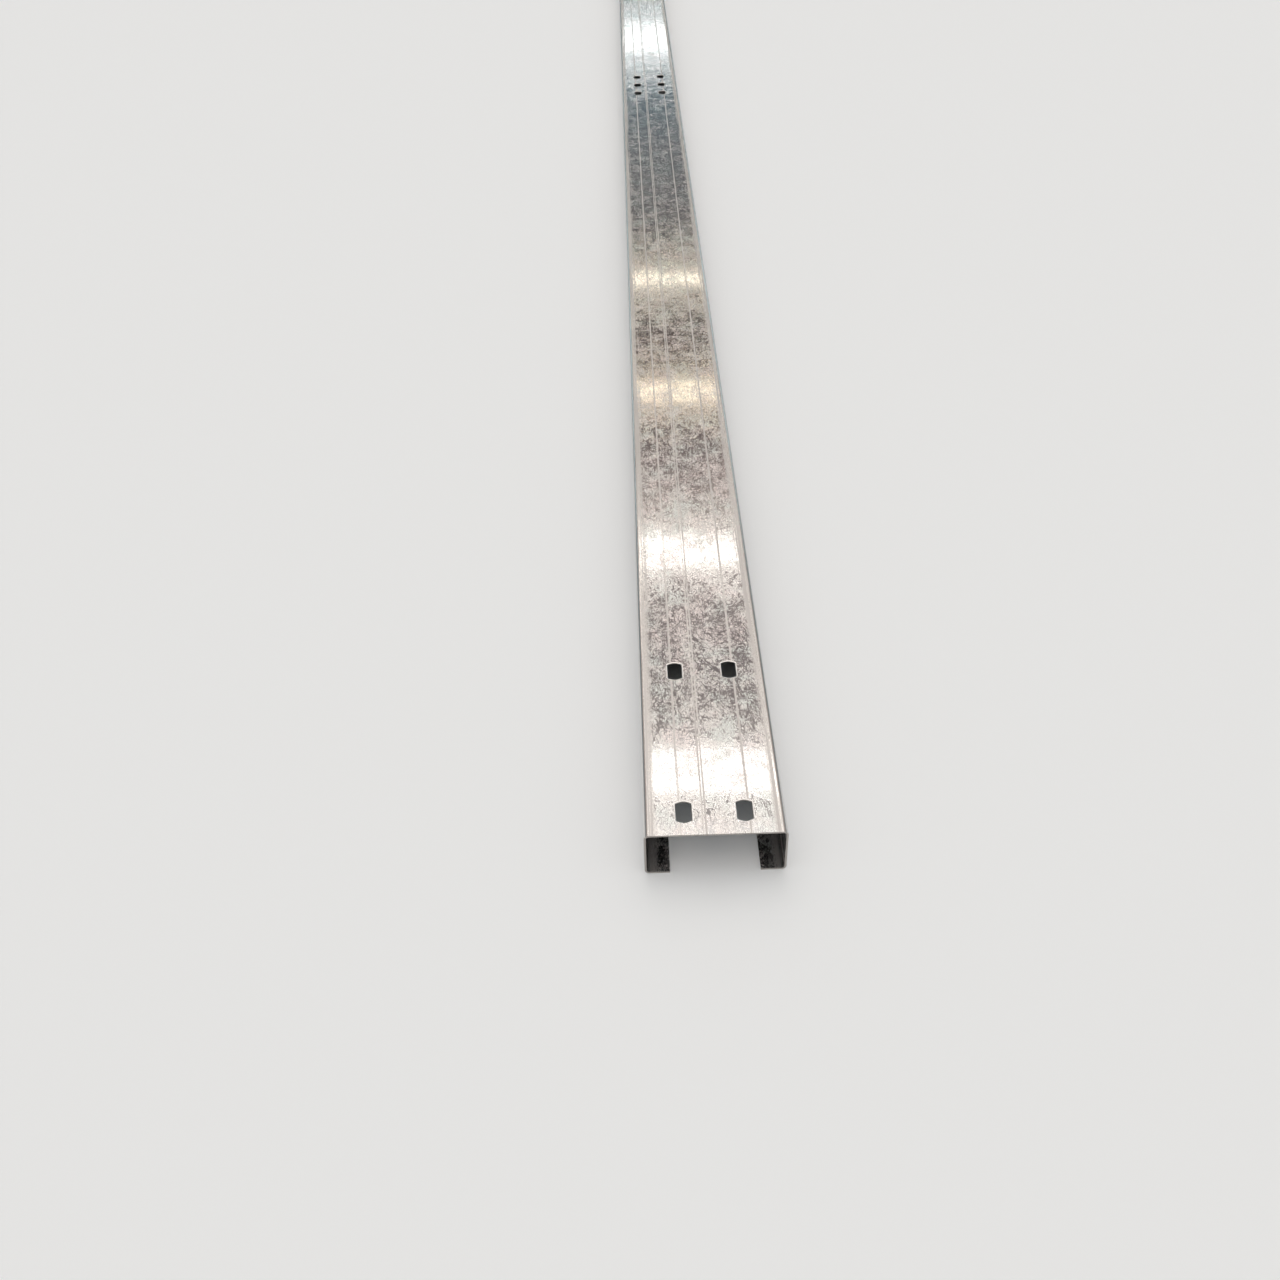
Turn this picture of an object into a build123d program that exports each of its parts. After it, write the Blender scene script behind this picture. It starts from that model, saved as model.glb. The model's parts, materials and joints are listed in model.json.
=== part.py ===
"""Lipped C channel: one length of galvanised steel sheet, roll formed and punched with bolt slots.

Frame: X runs along the channel, Y across its web, Z up. The channel lies with its web on top and its
lips underneath. The origin is midway along it and midway across it, level with the lips' undersides.
"""

import os

from build123d import *

# The rolled section, in millimetres, measured over the outside of the sheet
web_width = 140.0
flange_depth = 55.0
lip_width = 25.0
sheet_thickness = 2.0
inner_bend_radius = 3.0

# The length that the channel is sawn to
channel_length = 5000.0

# One punched slot: straight long sides, and ends that swell to a shallow nose of half the slot's width
slot_length = 28.0
slot_width = 16.0
slot_side_length = 23.0
slot_corner_radius = 2.0

# Where the slots stand: two columns along the web, in rows at both ends and a group at mid length
column_spacing = 60.0
end_to_first_row = 30.0
first_to_second_row = 210.0
middle_rows = 3
middle_row_pitch = 70.0

# The outer face of the sheet, walked from one lip's free edge over the web to the other's
outer_bend_radius = inner_bend_radius + sheet_thickness
half_web = web_width / 2
lip_edge = half_web - lip_width
outer_corners = [
    (lip_edge, 0),
    (half_web, 0),
    (half_web, flange_depth),
    (-half_web, flange_depth),
    (-half_web, 0),
    (-lip_edge, 0),
]

# Distances of the rows from mid length
first_row = channel_length / 2 - end_to_first_row
second_row = first_row - first_to_second_row
end_rows = [first_row, second_row, -second_row, -first_row]
middle_start = -middle_row_pitch * (middle_rows - 1) / 2
group_rows = [middle_start + middle_row_pitch * row for row in range(middle_rows)]
columns = [-column_spacing / 2, column_spacing / 2]
slot_places = [(row, column) for row in end_rows + group_rows for column in columns]

# The punch: a rectangle for the straight sides, hulled with a round nose at each end
nose_radius = slot_width / 2
nose_centre = slot_length / 2 - nose_radius
with BuildSketch() as slot_outline:
    Rectangle(slot_side_length, slot_width)
    with Locations((-nose_centre, 0), (nose_centre, 0)):
        Circle(nose_radius)
    make_hull()
    by_side = slot_outline.vertices().group_by(Axis.Y)
    fillet(by_side[0] + by_side[-1], slot_corner_radius)

# The channel itself: one sheet of even thickness bent at four corners, then punched through its web
with BuildPart() as c_channel:
    with BuildSketch(Plane.YZ.offset(-channel_length / 2)) as section:
        with BuildLine():
            FilletPolyline(*outer_corners, radius=outer_bend_radius)
            offset(amount=sheet_thickness, side=Side.LEFT)
        make_face()
    extrude(amount=channel_length)
    with BuildSketch(Plane.XY.offset(flange_depth)) as punched_slots:
        with Locations(*slot_places):
            add(slot_outline.sketch)
    extrude(amount=-sheet_thickness, mode=Mode.SUBTRACT)

c_channel.part.label = "c_channel"

os.makedirs("parts", exist_ok=True)
export_step(c_channel.part, "parts/c_channel.step")
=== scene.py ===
"""The looks of a lipped C channel, rolled from galvanised sheet, lying web up on a pale studio floor."""

import json
import math

import bpy
from mathutils import Matrix, Vector


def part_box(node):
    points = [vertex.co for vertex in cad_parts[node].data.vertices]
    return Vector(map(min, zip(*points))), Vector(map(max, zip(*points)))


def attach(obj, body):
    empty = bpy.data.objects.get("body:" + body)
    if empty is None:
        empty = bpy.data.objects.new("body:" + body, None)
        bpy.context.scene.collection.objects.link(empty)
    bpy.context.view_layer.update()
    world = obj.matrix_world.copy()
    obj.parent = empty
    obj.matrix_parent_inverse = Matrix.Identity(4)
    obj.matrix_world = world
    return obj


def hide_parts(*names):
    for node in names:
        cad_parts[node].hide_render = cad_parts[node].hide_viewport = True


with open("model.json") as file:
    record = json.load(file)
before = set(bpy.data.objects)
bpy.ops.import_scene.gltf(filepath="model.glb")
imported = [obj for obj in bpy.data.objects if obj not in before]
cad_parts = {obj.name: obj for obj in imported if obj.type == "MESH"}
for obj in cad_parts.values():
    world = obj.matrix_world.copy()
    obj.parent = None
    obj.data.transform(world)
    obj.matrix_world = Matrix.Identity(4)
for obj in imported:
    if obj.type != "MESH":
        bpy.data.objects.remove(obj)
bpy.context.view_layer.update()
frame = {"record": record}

# The channel. It is one strip of zinc-dipped steel, 2 mm thick. The slots are punched while it is flat,
# from the side that ends up outside. Rolls then bend it up into web, flanges and lips, and rub the zinc
# in narrow lines along the web and beside the bends. It is cut to length last.

low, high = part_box("c_channel")
CHANNEL_LENGTH = high.x - low.x
WEB_WIDTH = high.y - low.y
FLANGE_DEPTH = high.z - low.z
LIP_WIDTH = 0.025
SHEET = 0.002
OUTER_BEND = 0.005
ROWS = 321
BEND_STEPS = 8
FLAT_STEP = 0.0075
LINES = (
    # how far each line is from the web's middle, and its width
    (-0.0342, 0.0024),
    (0.0089, 0.0018),
    (0.0118, 0.0016),
    (0.0345, 0.0024),
)
LINE_DEPTH = 0.00006
LINE_SHAPE = (
    # how far from the line's middle, in line widths, and how much of its depth is reached there
    (-0.60, 0.00),
    (-0.32, 0.35),
    (0.00, 1.00),
    (0.32, 0.35),
    (0.60, 0.00),
)
LINE_RIM = 0.62
LINE_CORE = 0.38
BAND_WIDTH = 0.0150
BAND_CORE = 0.45
BAND_WANDER = 0.012
WAVE = 0.00025
WAVE_LENGTH = 0.16
WAVE_CREST = 0.75
WAVES_ACROSS = 5.0
NEXT_STRIP = 7.3
CALM_START = 0.8
WAVE_SEED = 4.0
CREASE = 0.0024
DIE_ROLL_WIDTH = 0.0017
DIE_ROLL_DEPTH = 0.00035
DIE_ROLL_STEPS = 4
PUNCH_HEAD = (
    # heights above the sheet, and the punch's flare there, in widths of the rolled-in edge
    (0.0006, 2.6),
    (0.00008, 1.35),
)
BREAK_OUT = (
    # depths into the sheet, in thicknesses, and how far the hole has grown there
    (0.55, 0.0),
    (1.02, 0.00010),
    (1.60, 0.00035),
)
SLOT_SIDE = 0.023
SLOT_CORNER = 0.002
ARC_STEPS = 6
EDGE_BREAK = 0.0002
SHARP_EDGE = math.radians(60)
SAME_PLACE = 1e-6
MM = 0.001

flat_half_web = WEB_WIDTH / 2 - OUTER_BEND
bend_run = OUTER_BEND * math.pi / 2
flat_flange = FLANGE_DEPTH - 2 * OUTER_BEND
flange_start = flat_half_web + bend_run
lip_bend_start = flange_start + flat_flange
lip_start = lip_bend_start + bend_run
half_strip = lip_start + LIP_WIDTH - OUTER_BEND
bend_places = (flat_half_web + bend_run / 2, lip_bend_start + bend_run / 2)

ZINC_TONE = (0.810, 0.796, 0.785, 1.0)
PINK_ZINC_TONE = (0.835, 0.785, 0.780, 1.0)
GREEN_ZINC_TONE = (0.765, 0.795, 0.782, 1.0)
RUBBED_TONE = (0.770, 0.752, 0.738, 1.0)
DRAWN_TONE = (0.600, 0.580, 0.572, 1.0)
# The rolled-in rim round each slot is painted paler than the zinc. This is a painted highlight, on top of
# the rim's real rounded shape.
RIM_HIGHLIGHT_TONE = (0.93, 0.92, 0.91, 1.0)
# The spangle's veins are painted darker than the zinc. This is partly the spangle's own pattern and
# partly a painted dark reflection of the dim ceiling that the mirror veins show.
VEIN_AND_DARK_REFLECTION_TONE = (0.450, 0.440, 0.450, 1.0)
BARE_STEEL_TONE = (0.50, 0.475, 0.45, 1.0)
CUT_MARK_TONE = (0.36, 0.34, 0.32, 1.0)
CUT_MARKS = 1800.0
GRAIN = 0.00028
GRAIN_BLUR = 0.06
NOISE_MIDDLE = 0.5
VEIN_SPACING = 0.0130
VEIN_STRETCH = 1.5
VEIN_CORE = 0.3
VEIN_LAYERS = (
    # spacing and width, as shares of the main veins', then swirl and strength
    (1.00, 1.0, 2.0, 0.75),
    (0.55, 1.0, 1.6, 0.65),
    (1.60, 0.8, 2.5, 1.00),
)
LONE_VEIN = 0.026
CROWDED_VEIN = 0.060
CROWD_START = 0.34
CROWD_END = 0.66
PATCH_SIZE = 0.026
TINT_SIZE = 0.038
FLAKE_LENGTH = 0.045
FLAKE_WIDTH = 0.0055
STREAK_LENGTH = 0.320
STREAK_WIDTH = 0.0024
GREEN_START = 0.52
GREEN_END = 0.64
PINK_START = 0.48
PINK_END = 0.36
MIRROR_ROUGHNESS = 0.045
MATT_ROUGHNESS = 0.42
SHEARED_ROUGHNESS = 0.42
BURNISHED_ROUGHNESS = 0.24
BURNISHED_WIDTH = 0.0052
BURNISHED_CORE = 0.5
PLAIN_SHARE = 0.28
VEIN_SHARE = 0.95
PATCH_DRIFT = 1.0
FLAKE_DRIFT = 0.5
STREAK_DRIFT = 0.4
MIDDLE_DRIFT = 0.95
LEAST_SHARE = 0.10
MOST_SHARE = 1.1
SLANTED_SHARE = 0.36
SLANT_START = 0.42
SLANT_END = 0.72
RUBBED_SHARE = 0.07
DRAWN_SHARE = 1.9
DRAWN_REACH = 0.16
CRYSTAL_TILT = 0.025
CRYSTAL_HEIGHT = 0.0004


def put(tree, kind, inputs=None, **settings):
    """Adds a node. Inputs maps a socket's name or number to a value or to another node's output."""
    node = tree.nodes.new(kind)
    for name, value in settings.items():
        setattr(node, name, value)
    for socket, value in (inputs or {}).items():
        if isinstance(value, bpy.types.NodeSocket):
            tree.links.new(value, node.inputs[socket])
        else:
            node.inputs[socket].default_value = value
    return node


def calc(tree, operation, *values):
    """The output of one Math node."""
    return put(tree, "ShaderNodeMath", dict(enumerate(values)), operation=operation).outputs[0]


def limited(tree, value, low, high):
    """A value held between two others."""
    return calc(tree, "MAXIMUM", calc(tree, "MINIMUM", value, high), low)


def fade(tree, value, start, end):
    """0 where the value is at start, 1 where it is at end, and smooth between."""
    spread = put(
        tree,
        "ShaderNodeMapRange",
        {"Value": value, "From Min": start, "From Max": end},
        interpolation_type="SMOOTHSTEP",
    )
    return spread.outputs["Result"]


def blend_tone(tree, share, first, second):
    """The first colour, or the second where share is 1."""
    mix = put(tree, "ShaderNodeMix", data_type="RGBA")
    for socket, value in ((0, share), (6, first), (7, second)):
        if isinstance(value, bpy.types.NodeSocket):
            tree.links.new(value, mix.inputs[socket])
        else:
            mix.inputs[socket].default_value = value
    return mix.outputs[2]


def new_group(name, kind, inputs, outputs):
    """A node group with named sockets, and its input node's outputs by name."""
    tree = bpy.data.node_groups.new(name, kind)
    for label, socket_type, value in inputs:
        socket = tree.interface.new_socket(label, in_out="INPUT", socket_type=socket_type)
        if value is not None:
            socket.default_value = value
    for label, socket_type in outputs:
        tree.interface.new_socket(label, in_out="OUTPUT", socket_type=socket_type)
    return tree, tree.nodes.new("NodeGroupInput").outputs


FLOAT = "NodeSocketFloat"


def stretched_noise(tree, place, size, detail, roughness, swirl=0.0):
    """A value from 0 to 1, in blots that are about so large, or so large along each axis."""
    reach = put(tree, "ShaderNodeVectorMath", {0: place, 1: size}, operation="DIVIDE")
    inputs = {
        "Vector": reach.outputs[0],
        "Scale": 1.0,
        "Detail": detail,
        "Roughness": roughness,
        "Distortion": swirl,
    }
    return put(tree, "ShaderNodeTexNoise", inputs).outputs["Fac"]


def veins(tree, place, spacing, stretch, width, swirl):
    """1 along ragged worm-like lines where the noise passes through its middle value."""
    along = calc(tree, "MULTIPLY", spacing, stretch)
    size = put(tree, "ShaderNodeCombineXYZ", {0: along, 1: spacing, 2: spacing})
    ridge = stretched_noise(tree, place, size.outputs[0], detail=2.0, roughness=0.6, swirl=swirl)
    away = calc(tree, "ABSOLUTE", calc(tree, "SUBTRACT", ridge, NOISE_MIDDLE))
    return fade(tree, away, width, calc(tree, "MULTIPLY", width, VEIN_CORE))


def spangle_group():
    """Zinc crystals: ragged veins, frozen mirror smooth, between crystals that are mostly frosted. The
    material paints the veins darker than the crystals, partly as the spangle's own pattern and partly as
    a painted dark reflection.
    """
    inputs = [
        ("Vein spacing", FLOAT, VEIN_SPACING),
        ("Vein stretch", FLOAT, VEIN_STRETCH),
        ("Patch size", FLOAT, PATCH_SIZE),
        ("Tint size", FLOAT, TINT_SIZE),
        ("Flake length", FLOAT, FLAKE_LENGTH),
        ("Flake width", FLOAT, FLAKE_WIDTH),
        ("Plain share", FLOAT, PLAIN_SHARE),
        ("Vein share", FLOAT, VEIN_SHARE),
        ("Streak", FLOAT, NOISE_MIDDLE),
    ]
    outputs = [("Mirror share", FLOAT), ("Vein", FLOAT), ("Tint", FLOAT)]
    tree, given = new_group("Spangle", "ShaderNodeTree", inputs, outputs)
    place = put(tree, "ShaderNodeTexCoord").outputs["Object"]
    patch = stretched_noise(tree, place, given["Patch size"], detail=3.0, roughness=0.6)
    tint = stretched_noise(tree, place, given["Tint size"], detail=2.0, roughness=0.5)
    size = put(
        tree,
        "ShaderNodeCombineXYZ",
        {0: given["Flake length"], 1: given["Flake width"], 2: given["Flake width"]},
    )
    flake = stretched_noise(tree, place, size.outputs[0], detail=1.0, roughness=0.5)
    crowd = fade(tree, patch, CROWD_START, CROWD_END)
    width = calc(tree, "MULTIPLY_ADD", crowd, CROWDED_VEIN - LONE_VEIN, LONE_VEIN)
    vein = 0.0
    for spread, breadth, swirl, strength in VEIN_LAYERS:
        spacing = calc(tree, "MULTIPLY", given["Vein spacing"], spread)
        reach = calc(tree, "MULTIPLY", width, breadth)
        layer = veins(tree, place, spacing, given["Vein stretch"], reach, swirl)
        vein = calc(tree, "MAXIMUM", vein, calc(tree, "MULTIPLY", layer, strength))
    drift = calc(tree, "MULTIPLY", given["Streak"], STREAK_DRIFT)
    drift = calc(tree, "MULTIPLY_ADD", flake, FLAKE_DRIFT, drift)
    drift = calc(tree, "MULTIPLY_ADD", patch, PATCH_DRIFT, drift)
    drift = calc(tree, "SUBTRACT", drift, MIDDLE_DRIFT)
    share = calc(tree, "MULTIPLY_ADD", vein, given["Vein share"], given["Plain share"])
    share = limited(tree, calc(tree, "ADD", share, drift), LEAST_SHARE, MOST_SHARE)
    put(tree, "NodeGroupOutput", {"Mirror share": share, "Vein": vein, "Tint": tint})
    return tree


def roll_marks_group():
    """Where rolls have rubbed the sheet, by the distance across the strip, and the streaks they leave."""
    inputs = [
        ("Band width", FLOAT, BAND_WIDTH),
        ("Streak length", FLOAT, STREAK_LENGTH),
        ("Streak width", FLOAT, STREAK_WIDTH),
        ("Burnished width", FLOAT, BURNISHED_WIDTH),
    ]
    outputs = [("Rubbed", FLOAT), ("Streak", FLOAT), ("Burnished", FLOAT)]
    tree, given = new_group("Roll marks", "ShaderNodeTree", inputs, outputs)
    place = put(tree, "ShaderNodeTexCoord").outputs["Object"]
    size = put(
        tree,
        "ShaderNodeCombineXYZ",
        {0: given["Streak length"], 1: given["Streak width"], 2: given["Streak width"]},
    )
    streak = stretched_noise(tree, place, size.outputs[0], detail=3.0, roughness=0.6)
    wander = calc(tree, "SUBTRACT", streak, NOISE_MIDDLE)
    across = put(tree, "ShaderNodeAttribute", attribute_name="across").outputs["Fac"]
    rubbed = 0.0
    for line, width in LINES:
        away = calc(tree, "ABSOLUTE", calc(tree, "SUBTRACT", across, line))
        rubbed = calc(tree, "MAXIMUM", rubbed, fade(tree, away, width * LINE_RIM, width * LINE_CORE))
    burnished = 0.0
    for bend in bend_places:
        away = calc(tree, "ABSOLUTE", calc(tree, "SUBTRACT", calc(tree, "ABSOLUTE", across), bend))
        full = calc(tree, "MULTIPLY", given["Burnished width"], BURNISHED_CORE)
        burnished = calc(tree, "MAXIMUM", burnished, fade(tree, away, given["Burnished width"], full))
        away = calc(tree, "MULTIPLY_ADD", wander, BAND_WANDER, away)
        full = calc(tree, "MULTIPLY", given["Band width"], BAND_CORE)
        rubbed = calc(tree, "MAXIMUM", rubbed, fade(tree, away, given["Band width"], full))
    put(tree, "NodeGroupOutput", {"Rubbed": rubbed, "Streak": streak, "Burnished": burnished})
    return tree


def frosting_group():
    """How rough each grain of zinc is: a share of them are mirrors, and the others are matt."""
    inputs = [
        ("Share", FLOAT, PLAIN_SHARE),
        ("Grain", FLOAT, GRAIN),
        ("Mirror", FLOAT, MIRROR_ROUGHNESS),
        ("Matt", FLOAT, MATT_ROUGHNESS),
    ]
    tree, given = new_group("Frosting", "ShaderNodeTree", inputs, [("Roughness", FLOAT)])
    place = put(tree, "ShaderNodeTexCoord").outputs["Object"]
    scale = calc(tree, "DIVIDE", 1.0, given["Grain"])
    grains = put(tree, "ShaderNodeTexVoronoi", {"Vector": place, "Scale": scale})
    chance = put(tree, "ShaderNodeSeparateColor", {0: grains.outputs["Color"]}).outputs[0]
    below = calc(tree, "SUBTRACT", given["Share"], GRAIN_BLUR)
    above = calc(tree, "ADD", given["Share"], GRAIN_BLUR)
    frosted = fade(tree, chance, below, above)
    span = calc(tree, "SUBTRACT", given["Matt"], given["Mirror"])
    rough = calc(tree, "MULTIPLY_ADD", frosted, span, given["Mirror"])
    put(tree, "NodeGroupOutput", {"Roughness": rough})
    return tree


def evenly(start, end, step):
    """Places from start up to, but not at, end, no further apart than step."""
    count = max(1, math.ceil((end - start) / step - SAME_PLACE))
    return [start + (end - start) * i / count for i in range(count)]


def pass_line():
    """The strip's cross line: close together in the bends, and sunk a little where a roll has run."""
    places = {}
    stops = (
        (0.0, flat_half_web, FLAT_STEP),
        (flat_half_web, flange_start, bend_run / BEND_STEPS),
        (flange_start, lip_bend_start, FLAT_STEP),
        (lip_bend_start, lip_start, bend_run / BEND_STEPS),
        (lip_start, half_strip, FLAT_STEP),
    )
    for start, end, step in stops:
        for place in evenly(start, end, step):
            places[place] = places[-place] = 0.0
    places[half_strip] = places[-half_strip] = 0.0
    for line, width in LINES:
        crowded = [p for p in places if abs(p - line) < width and places[p] == 0.0]
        for place in crowded:
            del places[place]
        for offset, share in LINE_SHAPE:
            places[line + offset * width] = -share * LINE_DEPTH
    ordered = sorted(places)
    mesh = bpy.data.meshes.new("pass_line")
    mesh.from_pydata(
        [(0.0, place, places[place]) for place in ordered],
        [(i, i + 1) for i in range(len(ordered) - 1)],
        [],
    )
    return mesh


def slot_outline(length, width, grow):
    """The punch's outline, as points in order, grown outwards by so much."""
    nose = width / 2
    nose_x = length / 2 - nose
    reach = SLOT_SIDE / 2 - nose_x
    lean = math.atan2(nose, reach) - math.acos(nose / math.hypot(reach, nose))
    corner_x = SLOT_SIDE / 2 + SLOT_CORNER * (math.sin(lean) - 1) / math.cos(lean)
    corner_y = nose - SLOT_CORNER
    quarter = []
    for step in range(ARC_STEPS + 1):
        angle = lean * step / ARC_STEPS
        quarter.append((nose_x, 0.0, nose + grow, angle))
    for step in range(ARC_STEPS + 1):
        angle = lean + (math.pi / 2 - lean) * step / ARC_STEPS
        quarter.append((corner_x, corner_y, SLOT_CORNER + grow, angle))
    first = [(x + r * math.cos(a), y + r * math.sin(a)) for x, y, r, a in quarter]
    second = [(-x, y) for x, y in reversed(first)]
    half = first + second
    return half + [(-x, -y) for x, y in half[1:-1]]


def punch_mesh(length, width):
    """The punch: it rounds the sheet's edge where it enters, and breaks out a little wider below."""
    levels = [(height, DIE_ROLL_WIDTH * flare) for height, flare in PUNCH_HEAD]
    for step in range(1, DIE_ROLL_STEPS + 1):
        turn = math.pi / 2 * step / DIE_ROLL_STEPS
        drop = DIE_ROLL_DEPTH * (1 - math.cos(turn))
        levels.append((-drop, DIE_ROLL_WIDTH * (1 - math.sin(turn))))
    rolled_in = len(levels) - 1
    levels += [(-SHEET * depth, grow) for depth, grow in BREAK_OUT]
    verts = []
    for height, grow in levels:
        verts += [(x, y, height) for x, y in slot_outline(length, width, grow)]
    count = len(verts) // len(levels)
    faces = [tuple(range(count)), tuple(reversed(range(len(verts) - count, len(verts))))]
    bare = [False, True]
    for level in range(len(levels) - 1):
        for i in range(count):
            a = level * count + i
            b = level * count + (i + 1) % count
            faces.append((a, a + count, b + count, b))
            bare.append(level >= rolled_in)
    mesh = bpy.data.meshes.new("punch")
    mesh.from_pydata(verts, [], faces)
    # These faces are the rolled-in rim round the slot, which the material gives a painted highlight.
    highlight_rim = [float(not cut) for cut in bare]
    mesh.attributes.new("sheared", "BOOLEAN", "FACE").data.foreach_set("value", bare)
    mesh.attributes.new("highlight_rim", "FLOAT", "FACE").data.foreach_set("value", highlight_rim)
    return mesh


def slot_places(record):
    """The middle of every slot, from the record's bolt patterns and the row between two of them."""
    places = set()
    for mount in record["mounts"]:
        if mount["kind"] != "bolt_pattern":
            continue
        x, y, _ = mount["pos_m"]
        run = mount["dims"]["spacing_x_mm"] * MM / 2
        gauge = mount["dims"]["spacing_y_mm"] * MM / 2
        rows = (-run, 0.0, run) if mount["name"] == "middle_slots" else (-run, run)
        places |= {(x + row, y + side * gauge, 0.0) for row in rows for side in (-1, 1)}
    return sorted(places)


def roll_forming_tree(sheet_look, edge_look):
    """Punches the flat strip and bends it up. The strip lies in XY with its outer face at height 0."""
    inputs = [
        ("Pass line", "NodeSocketGeometry", None),
        ("Punch", "NodeSocketObject", None),
        ("Slot places", "NodeSocketObject", None),
        ("Channel length", FLOAT, 1.0),
        ("Rows", "NodeSocketInt", 2),
        ("Sheet thickness", FLOAT, SHEET),
        ("Flat half web", FLOAT, 0.1),
        ("Flat flange", FLOAT, 0.1),
        ("Outer bend radius", FLOAT, OUTER_BEND),
        ("Height of web", FLOAT, 0.1),
        ("Wave", FLOAT, 0.0),
        ("Wave length", FLOAT, 1.0),
        ("Seed", FLOAT, 0.0),
    ]
    outputs = [("Channel", "NodeSocketGeometry")]
    tree, given = new_group("Punch and roll", "GeometryNodeTree", inputs, outputs)

    columns = put(
        tree,
        "GeometryNodeAttributeDomainSize",
        {"Geometry": given["Pass line"]},
        component="MESH",
    )
    grid = put(
        tree,
        "GeometryNodeMeshGrid",
        {
            "Size X": given["Channel length"],
            "Vertices X": given["Rows"],
            "Vertices Y": columns.outputs["Point Count"],
        },
    )
    index = put(tree, "GeometryNodeInputIndex").outputs[0]
    column = put(
        tree,
        "FunctionNodeIntegerMath",
        {0: index, 1: columns.outputs["Point Count"]},
        operation="MODULO",
    )
    line_point = put(
        tree,
        "GeometryNodeSampleIndex",
        {"Geometry": given["Pass line"], "Index": column.outputs[0]},
        data_type="FLOAT_VECTOR",
        domain="POINT",
    )
    tree.links.new(put(tree, "GeometryNodeInputPosition").outputs[0], line_point.inputs["Value"])
    on_line = put(tree, "ShaderNodeSeparateXYZ", {0: line_point.outputs[0]})
    on_grid = put(tree, "ShaderNodeSeparateXYZ", {0: put(tree, "GeometryNodeInputPosition").outputs[0]})
    laid = put(
        tree,
        "ShaderNodeCombineXYZ",
        {0: on_grid.outputs[0], 1: on_line.outputs[1], 2: on_line.outputs[2]},
    )
    strip = put(
        tree, "GeometryNodeSetPosition", {"Geometry": grid.outputs["Mesh"], "Position": laid.outputs[0]}
    )

    under = put(
        tree,
        "GeometryNodeExtrudeMesh",
        {
            "Mesh": strip.outputs[0],
            "Offset Scale": calc(tree, "MULTIPLY", given["Sheet thickness"], -1.0),
            "Individual": False,
        },
        mode="FACES",
    )
    sheared = put(
        tree,
        "GeometryNodeStoreNamedAttribute",
        {"Geometry": under.outputs["Mesh"], "Name": "sheared", "Value": under.outputs["Side"]},
        data_type="BOOLEAN",
        domain="FACE",
    )
    turned = put(tree, "GeometryNodeFlipFaces", {"Mesh": sheared.outputs[0]})
    both = put(tree, "GeometryNodeJoinGeometry")
    tree.links.new(strip.outputs[0], both.inputs[0])
    tree.links.new(turned.outputs[0], both.inputs[0])
    blank = put(
        tree, "GeometryNodeMergeByDistance", {"Geometry": both.outputs[0], "Distance": SAME_PLACE}
    )

    punch = put(tree, "GeometryNodeObjectInfo", {"Object": given["Punch"]})
    places = put(tree, "GeometryNodeObjectInfo", {"Object": given["Slot places"]})
    punches = put(
        tree,
        "GeometryNodeInstanceOnPoints",
        {"Points": places.outputs["Geometry"], "Instance": punch.outputs["Geometry"]},
    )
    punched = put(
        tree,
        "GeometryNodeMeshBoolean",
        {
            "Mesh 1": blank.outputs[0],
            "Mesh 2": put(tree, "GeometryNodeRealizeInstances", {0: punches.outputs[0]}).outputs[0],
        },
        operation="DIFFERENCE",
        solver="EXACT",
    )

    flat = put(tree, "ShaderNodeSeparateXYZ", {0: put(tree, "GeometryNodeInputPosition").outputs[0]})
    along, across, height = flat.outputs[:3]
    kept = put(
        tree,
        "GeometryNodeStoreNamedAttribute",
        {"Geometry": punched.outputs[0], "Name": "across", "Value": across},
        data_type="FLOAT",
        domain="POINT",
    )

    # Each strip between two pressed lines ripples by itself, so a reflection breaks at the lines.
    ripple = 0.0
    waves = calc(tree, "DIVIDE", along, given["Wave length"])
    for number, line in enumerate([-half_strip] + [place for place, _ in LINES]):
        beside = calc(tree, "MULTIPLY_ADD", across, WAVES_ACROSS, NEXT_STRIP * number)
        spot = put(tree, "ShaderNodeCombineXYZ", {0: waves, 1: beside, 2: given["Seed"]})
        noise = put(tree, "ShaderNodeTexNoise", {"Vector": spot.outputs[0], "Scale": 1.0, "Detail": 1.0})
        strip_ripple = calc(tree, "SUBTRACT", noise.outputs["Fac"], WAVE_CREST)
        past = fade(tree, across, line - CREASE / 2, line + CREASE / 2)
        step = calc(tree, "MULTIPLY", past, calc(tree, "SUBTRACT", strip_ripple, ripple))
        ripple = calc(tree, "ADD", ripple, step)
    calm = fade(tree, calc(tree, "ABSOLUTE", across), flat_half_web, flat_half_web * CALM_START)
    lift = calc(tree, "MULTIPLY", calc(tree, "MULTIPLY", ripple, given["Wave"]), calm)

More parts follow.
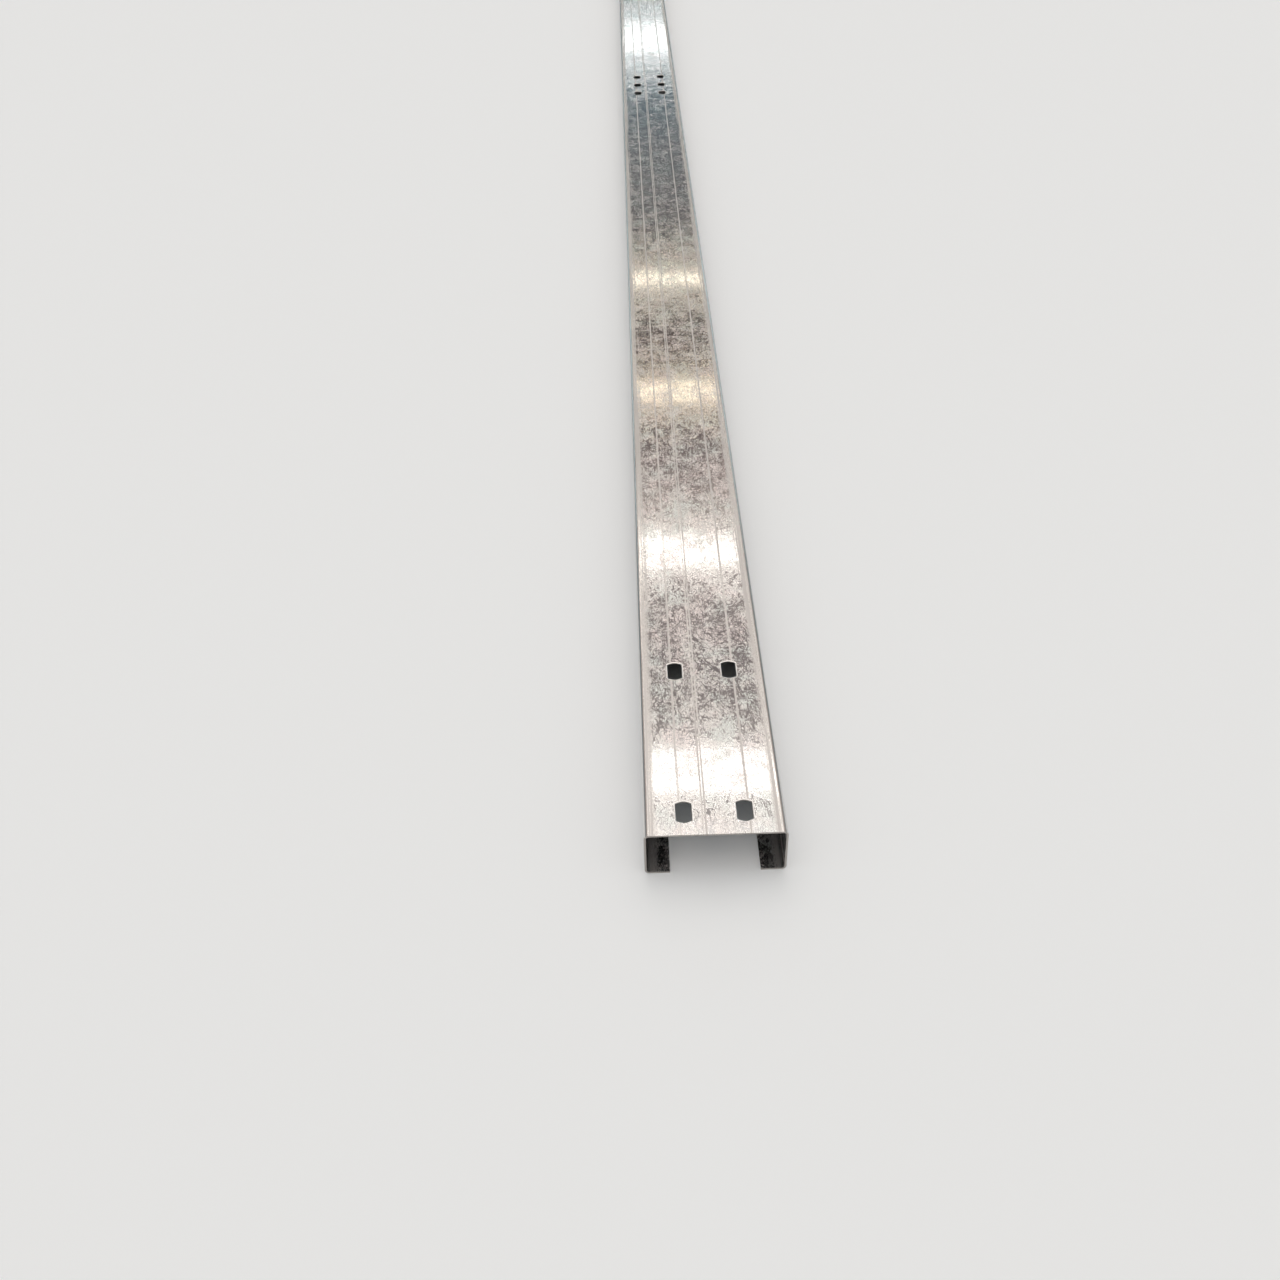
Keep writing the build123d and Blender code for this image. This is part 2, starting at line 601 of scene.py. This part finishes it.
    # The outer face runs along the web, round a bend, down the flange, round a bend and along the lip.
    # First and second say how far each bend has turned here, and depth how far inside it this point is.
    depth = calc(tree, "MULTIPLY", calc(tree, "ADD", height, lift), -1.0)
    radius = given["Outer bend radius"]
    run = calc(tree, "ABSOLUTE", across)
    quarter = math.pi / 2
    first = calc(tree, "DIVIDE", calc(tree, "SUBTRACT", run, given["Flat half web"]), radius)
    first = limited(tree, first, 0.0, quarter)
    past_web = calc(tree, "SUBTRACT", run, given["Flat half web"])
    past_bend = calc(tree, "SUBTRACT", past_web, calc(tree, "MULTIPLY", radius, quarter))
    past_flange = calc(tree, "SUBTRACT", past_bend, given["Flat flange"])
    second = limited(tree, calc(tree, "DIVIDE", past_flange, radius), 0.0, quarter)
    on_lip = calc(tree, "SUBTRACT", past_flange, calc(tree, "MULTIPLY", radius, quarter))
    out = calc(tree, "MINIMUM", run, given["Flat half web"])
    out = calc(tree, "MULTIPLY_ADD", radius, calc(tree, "SINE", first), out)
    turned_in = calc(tree, "SUBTRACT", 1.0, calc(tree, "COSINE", second))
    out = calc(tree, "SUBTRACT", out, calc(tree, "MULTIPLY", radius, turned_in))
    out = calc(tree, "SUBTRACT", out, calc(tree, "MAXIMUM", on_lip, 0.0))
    turned_down = calc(tree, "SUBTRACT", 1.0, calc(tree, "COSINE", first))
    down = calc(tree, "MULTIPLY", radius, turned_down)
    down = calc(tree, "ADD", down, limited(tree, past_bend, 0.0, given["Flat flange"]))
    down = calc(tree, "MULTIPLY_ADD", radius, calc(tree, "SINE", second), down)
    turn = calc(tree, "ADD", first, second)
    side = calc(tree, "SUBTRACT", out, calc(tree, "MULTIPLY", depth, calc(tree, "SINE", turn)))
    fall = calc(tree, "MULTIPLY_ADD", depth, calc(tree, "COSINE", turn), down)
    bent = put(
        tree,
        "ShaderNodeCombineXYZ",
        {
            0: along,
            1: calc(tree, "MULTIPLY", calc(tree, "SIGN", across), side),
            2: calc(tree, "SUBTRACT", given["Height of web"], fall),
        },
    )
    formed = put(
        tree, "GeometryNodeSetPosition", {"Geometry": kept.outputs[0], "Position": bent.outputs[0]}
    )
    smooth = put(tree, "GeometryNodeSetShadeSmooth", {"Geometry": formed.outputs[0]}, domain="FACE")
    real = put(tree, "GeometryNodeRealizeInstances", {0: smooth.outputs[0]})
    coated = put(tree, "GeometryNodeSetMaterial", {"Geometry": real.outputs[0], "Material": sheet_look})
    is_edge = put(tree, "GeometryNodeInputNamedAttribute", {"Name": "sheared"}, data_type="BOOLEAN")
    edged = put(
        tree,
        "GeometryNodeSetMaterial",
        {"Geometry": coated.outputs[0], "Material": edge_look, "Selection": is_edge.outputs["Attribute"]},
    )
    put(tree, "NodeGroupOutput", {"Channel": edged.outputs[0]})
    return tree


def principled(name):
    """A new material, its tree, and its Principled shader."""
    look = bpy.data.materials.new(name)
    look.use_nodes = True
    return look, look.node_tree, look.node_tree.nodes["Principled BSDF"]


def galvanised_look():
    """Spangled zinc. Mirror grains show the lamps and the dark, and frosted ones glow evenly."""
    look, tree, shader = principled("galvanised_sheet")
    marks = put(tree, "ShaderNodeGroup", node_tree=roll_marks_group())
    spangle = put(tree, "ShaderNodeGroup", node_tree=spangle_group())
    tree.links.new(marks.outputs["Streak"], spangle.inputs["Streak"])
    rubbed = marks.outputs["Rubbed"]
    tint = spangle.outputs["Tint"]
    tone = blend_tone(tree, fade(tree, tint, GREEN_START, GREEN_END), ZINC_TONE, GREEN_ZINC_TONE)
    tone = blend_tone(tree, fade(tree, tint, PINK_START, PINK_END), tone, PINK_ZINC_TONE)
    # Partly painted dark reflection: the veins are darkened in the base colour as well as being mirror
    # smooth. The rest of that darkening is the spangle's own pattern.
    tone = blend_tone(tree, spangle.outputs["Vein"], tone, VEIN_AND_DARK_REFLECTION_TONE)
    drawn = calc(tree, "SUBTRACT", marks.outputs["Streak"], NOISE_MIDDLE)
    pale = fade(tree, drawn, -DRAWN_REACH, DRAWN_REACH)
    rubbed_tone = blend_tone(tree, pale, DRAWN_TONE, RUBBED_TONE)
    tone = blend_tone(tree, rubbed, tone, rubbed_tone)
    # Painted highlight: the rolled-in rim round each slot gets a pale base colour, as if it caught the
    # light, and takes the matt roughness.
    highlight_rim = put(tree, "ShaderNodeAttribute", attribute_name="highlight_rim").outputs["Fac"]
    tree.links.new(blend_tone(tree, highlight_rim, tone, RIM_HIGHLIGHT_TONE), shader.inputs["Base Color"])
    worn = calc(tree, "MULTIPLY_ADD", drawn, DRAWN_SHARE, RUBBED_SHARE)
    slant = put(tree, "ShaderNodeLayerWeight", {"Blend": 0.5}).outputs["Facing"]
    slanted = calc(tree, "MULTIPLY", fade(tree, slant, SLANT_START, SLANT_END), SLANTED_SHARE)
    clear = calc(tree, "ADD", slanted, spangle.outputs["Mirror share"])
    left = calc(tree, "MULTIPLY", calc(tree, "SUBTRACT", 1.0, rubbed), clear)
    share = calc(tree, "MULTIPLY_ADD", rubbed, worn, left)
    share = calc(tree, "MULTIPLY", share, calc(tree, "SUBTRACT", 1.0, highlight_rim))
    burnish = calc(tree, "MULTIPLY", marks.outputs["Burnished"], BURNISHED_ROUGHNESS - MATT_ROUGHNESS)
    matt = calc(tree, "ADD", burnish, MATT_ROUGHNESS)
    frosting = put(
        tree,
        "ShaderNodeGroup",
        {"Share": share, "Mirror": MIRROR_ROUGHNESS, "Matt": matt},
        node_tree=frosting_group(),
    )
    tree.links.new(frosting.outputs["Roughness"], shader.inputs["Roughness"])
    shader.inputs["Metallic"].default_value = 1.0
    relief = put(
        tree,
        "ShaderNodeBump",
        {"Strength": CRYSTAL_TILT, "Distance": CRYSTAL_HEIGHT, "Height": spangle.outputs["Vein"]},
    )
    tree.links.new(relief.outputs[0], shader.inputs["Normal"])
    return look


def sheared_look():
    """Bare steel where the sheet has been cut: greyer, and finely mottled by the shear."""
    look, tree, shader = principled("sheared_edge")
    place = put(tree, "ShaderNodeTexCoord").outputs["Object"]
    cuts = put(tree, "ShaderNodeTexNoise", {"Vector": place, "Scale": CUT_MARKS, "Detail": 2.0})
    tone = blend_tone(tree, cuts.outputs["Fac"], BARE_STEEL_TONE, CUT_MARK_TONE)
    tree.links.new(tone, shader.inputs["Base Color"])
    shader.inputs["Metallic"].default_value = 1.0
    shader.inputs["Roughness"].default_value = SHEARED_ROUGHNESS
    return look


def carrier(name, data):
    """A new scene object that carries a mesh, or the camera's data."""
    made = bpy.data.objects.new(name, data)
    bpy.context.scene.collection.objects.link(made)
    return made


slot_size = next(m["dims"] for m in frame["record"]["mounts"] if m["kind"] == "bolt_pattern")
punch = carrier("punch", punch_mesh(slot_size["slot_length_mm"] * MM, 2 * slot_size["hole_r_mm"] * MM))
places_mesh = bpy.data.meshes.new("slot_places")
places_mesh.from_pydata(slot_places(frame["record"]), [], [])
slot_marks = carrier("slot_places", places_mesh)
strip = carrier("strip", pass_line())
sheet_look = galvanised_look()
edge_look = sheared_look()
tree = roll_forming_tree(sheet_look, edge_look)
rolling = strip.modifiers.new("roll_forming", "NODES")
rolling.node_group = tree
settings = {
    "Punch": punch,
    "Slot places": slot_marks,
    "Channel length": CHANNEL_LENGTH,
    "Rows": ROWS,
    "Sheet thickness": SHEET,
    "Flat half web": flat_half_web,
    "Flat flange": flat_flange,
    "Outer bend radius": OUTER_BEND,
    "Height of web": high.z,
    "Wave": WAVE,
    "Wave length": WAVE_LENGTH,
    "Seed": WAVE_SEED,
}
for socket in tree.interface.items_tree:
    if socket.in_out == "INPUT" and socket.name in settings:
        rolling[socket.identifier] = settings[socket.name]
edges = strip.modifiers.new("broken_edges", "BEVEL")
edges.width = EDGE_BREAK
edges.segments = 2
edges.limit_method = "ANGLE"
edges.angle_limit = SHARP_EDGE
shade = strip.modifiers.new("even_shading", "WEIGHTED_NORMAL")
shade.keep_sharp = False
settled = bpy.context.evaluated_depsgraph_get()
made = bpy.data.meshes.new_from_object(
    strip.evaluated_get(settled), preserve_all_data_layers=True, depsgraph=settled
)
made.name = "rolled_channel"
# The strip itself has no material, which leaves an empty slot before the two that its faces use.
made.materials.pop(index=0)
channel = carrier("rolled_channel", made)
for spare in (strip, punch, slot_marks):
    bpy.data.objects.remove(spare)
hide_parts("c_channel")
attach(channel, "root")

# The studio floor. It is one plain pale sheet of painted board, with no joints and no gloss, so the part
# stands on it with only a soft shadow.

FLOOR_TONE = (0.895, 0.930, 0.960, 1.0)
FLOOR_ROUGHNESS = 0.75
FLOOR_REACH = 40.0

floor_mesh = bpy.data.meshes.new("floor")
corners = ((-1, -1), (1, -1), (1, 1), (-1, 1))
floor_mesh.from_pydata([(FLOOR_REACH * x, FLOOR_REACH * y, 0.0) for x, y in corners], [], [(0, 1, 2, 3)])
floor = carrier("floor", floor_mesh)
floor_look, _, floor_shader = principled("floor_paint")
floor_shader.inputs["Base Color"].default_value = FLOOR_TONE
floor_shader.inputs["Roughness"].default_value = FLOOR_ROUGHNESS
floor_shader.inputs["Specular IOR Level"].default_value = 0.0
floor_mesh.materials.append(floor_look)

# The camera. It stands most of a metre short of the near end and a little under a metre above the web,
# looks along the channel and down, and leans slightly to one side.

EYE_BEFORE_END = 0.7883
EYE_ABOVE_WEB = 0.8968
EYE_ASIDE = 0.0654
PITCH = math.radians(39.59)
HEADING = math.radians(0.108)
ROLL = math.radians(-1.952)
FOCAL_PIXELS = 1226.7
FRAME_PIXELS = 1280
SENSOR = 36.0

eye = Vector((low.x - EYE_BEFORE_END, EYE_ASIDE, high.z + EYE_ABOVE_WEB))
camera_data = bpy.data.cameras.new("camera")
camera_data.sensor_width = SENSOR
camera_data.lens = SENSOR * FOCAL_PIXELS / FRAME_PIXELS
camera_data.clip_start = 0.05
camera_data.clip_end = 100.0
camera = carrier("camera", camera_data)
camera.matrix_world = (
    Matrix.Translation(eye)
    @ Matrix.Rotation(HEADING - math.pi / 2, 4, "Z")
    @ Matrix.Rotation(math.pi / 2 - PITCH, 4, "X")
    @ Matrix.Rotation(ROLL, 4, "Z")
)
bpy.context.scene.camera = camera

# The light. Soft lamps hang one behind the other beyond both ends of the channel, and each shows in its
# web as a pale bar. The ceiling between them is dim, and tall soft panels stand round the two sides. The
# camera itself sees only the floor's own tone behind the part.

SKY_TONES = (
    # height above the horizon in degrees, and the tone there
    (0.0, (0.20, 0.24, 0.26, 1.0)),
    (10.5, (0.20, 0.26, 0.28, 1.0)),
    (12.0, (0.13, 0.18, 0.185, 1.0)),
    (14.5, (0.13, 0.190, 0.205, 1.0)),
    (16.0, (0.155, 0.215, 0.250, 1.0)),
    (17.5, (0.205, 0.223, 0.233, 1.0)),
    (21.0, (0.195, 0.192, 0.188, 1.0)),
    (25.0, (0.165, 0.142, 0.130, 1.0)),
    (31.0, (0.33, 0.27, 0.255, 1.0)),
    (33.5, (0.61, 0.53, 0.475, 1.0)),
    (37.5, (0.50, 0.44, 0.41, 1.0)),
    (41.0, (0.40, 0.355, 0.34, 1.0)),
    (44.0, (0.58, 0.52, 0.48, 1.0)),
    (50.0, (0.62, 0.57, 0.53, 1.0)),
    (62.0, (1.20, 1.09, 1.00, 1.0)),
    (90.0, (1.60, 1.52, 1.44, 1.0)),
)
PANEL_TONES = (
    (0.0, (0.50, 0.50, 0.50, 1.0)),
    (8.0, (1.00, 0.99, 0.97, 1.0)),
    (40.0, (1.15, 1.12, 1.08, 1.0)),
    (90.0, (1.40, 1.35, 1.30, 1.0)),
)
GAP_TONES = (
    (0.0, (0.22, 0.22, 0.23, 1.0)),
    (15.0, (0.20, 0.20, 0.21, 1.0)),
    (40.0, (0.36, 0.35, 0.34, 1.0)),
    (65.0, (1.00, 0.97, 0.94, 1.0)),
    (90.0, (1.40, 1.35, 1.30, 1.0)),
)
PANELS_IN_A_TURN = 20.0
LAMPS = (
    # lowest and highest edge in degrees above the horizon, first and last edge in degrees to either side
    # of the channel's line, brightness, and tone
    (47.9, 52.5, -9.0, 24.0, 1.68, (1.04, 1.00, 0.94)),
    (44.7, 46.6, -9.0, 24.0, 3.5, (1.04, 1.00, 0.94)),
    (34.7, 36.1, -9.0, 20.0, 4.0, (1.05, 1.00, 0.92)),
    (27.7, 28.6, -9.0, 5.5, 2.95, (1.12, 0.98, 0.74)),
    (22.9, 23.5, -9.0, 4.5, 3.8, (1.10, 1.00, 0.80)),
    (13.0, 13.95, -9.0, 2.6, 4.5, (0.965, 1.00, 0.99)),
    (11.0, 24.0, 9.0, 30.0, 0.90, (0.84, 1.00, 1.04)),
)
LAMP_EDGE = 0.22
LAMP_END_EDGE = 0.88
ROOM_HALF_SPAN = 42.0
ROOM_CORNER = 1.3
PANEL_START = -0.5
PANEL_END = 0.7
GROUND_START = -1.0
GROUND_END = -2.0
DARK = (0.0, 0.0, 0.0, 1.0)
ZENITH = 90.0
BACKDROP_TONE = (0.774, 0.768, 0.757, 1.0)


def tones_by_height(tree, height, tones):
    """A colour for each height above the horizon, smooth between the tones given."""
    ramp = put(tree, "ShaderNodeValToRGB", {0: calc(tree, "DIVIDE", height, ZENITH)})
    stops = ramp.color_ramp.elements
    while len(stops) < len(tones):
        stops.new(0.5)
    for stop, (degrees, tone) in zip(stops, tones):
        stop.position = degrees / ZENITH
        stop.color = tone
    return ramp.outputs[0]


def lamp_share(tree, height, aside, low, high, start, end):
    """1 within a lamp's edges, and 0 outside them."""
    above = fade(tree, height, low - LAMP_EDGE, low + LAMP_EDGE)
    below = fade(tree, height, high + LAMP_EDGE, high - LAMP_EDGE)
    inside = fade(tree, aside, start - LAMP_END_EDGE, start + LAMP_END_EDGE)
    outside = fade(tree, aside, end + LAMP_END_EDGE, end - LAMP_END_EDGE)
    across = calc(tree, "MULTIPLY", inside, outside)
    return calc(tree, "MULTIPLY", calc(tree, "MULTIPLY", above, below), across)


world = bpy.data.worlds.new("studio")
world.use_nodes = True
sky = world.node_tree
outlook = put(sky, "ShaderNodeSeparateXYZ", {0: put(sky, "ShaderNodeTexCoord").outputs["Generated"]})
height = calc(sky, "DEGREES", calc(sky, "ARCSINE", outlook.outputs[2]))
out_x = calc(sky, "ABSOLUTE", outlook.outputs[0])
out_y = calc(sky, "ABSOLUTE", outlook.outputs[1])
turn = calc(sky, "ARCTAN2", out_y, out_x)
aside = calc(sky, "DEGREES", turn)
beyond_ends = fade(sky, aside, ROOM_HALF_SPAN * ROOM_CORNER, ROOM_HALF_SPAN)
swing = calc(sky, "COSINE", calc(sky, "MULTIPLY", turn, PANELS_IN_A_TURN))
panel = fade(sky, swing, PANEL_START, PANEL_END)
sides = blend_tone(
    sky, panel, tones_by_height(sky, height, GAP_TONES), tones_by_height(sky, height, PANEL_TONES)
)
room = blend_tone(sky, beyond_ends, sides, tones_by_height(sky, height, SKY_TONES))
for lamp_low, lamp_high, start, end, brightness, tone in LAMPS:
    share = lamp_share(sky, height, aside, lamp_low, lamp_high, start, end)
    glow = tuple(brightness * part for part in tone) + (1.0,)
    room = blend_tone(sky, share, room, glow)
room = blend_tone(sky, fade(sky, height, GROUND_START, GROUND_END), room, DARK)
direct = put(sky, "ShaderNodeLightPath").outputs["Is Camera Ray"]
seen = blend_tone(sky, direct, room, BACKDROP_TONE)
sky.links.new(seen, sky.nodes["Background"].inputs["Color"])
bpy.context.scene.world = world
bpy.context.scene.view_settings.view_transform = "Standard"
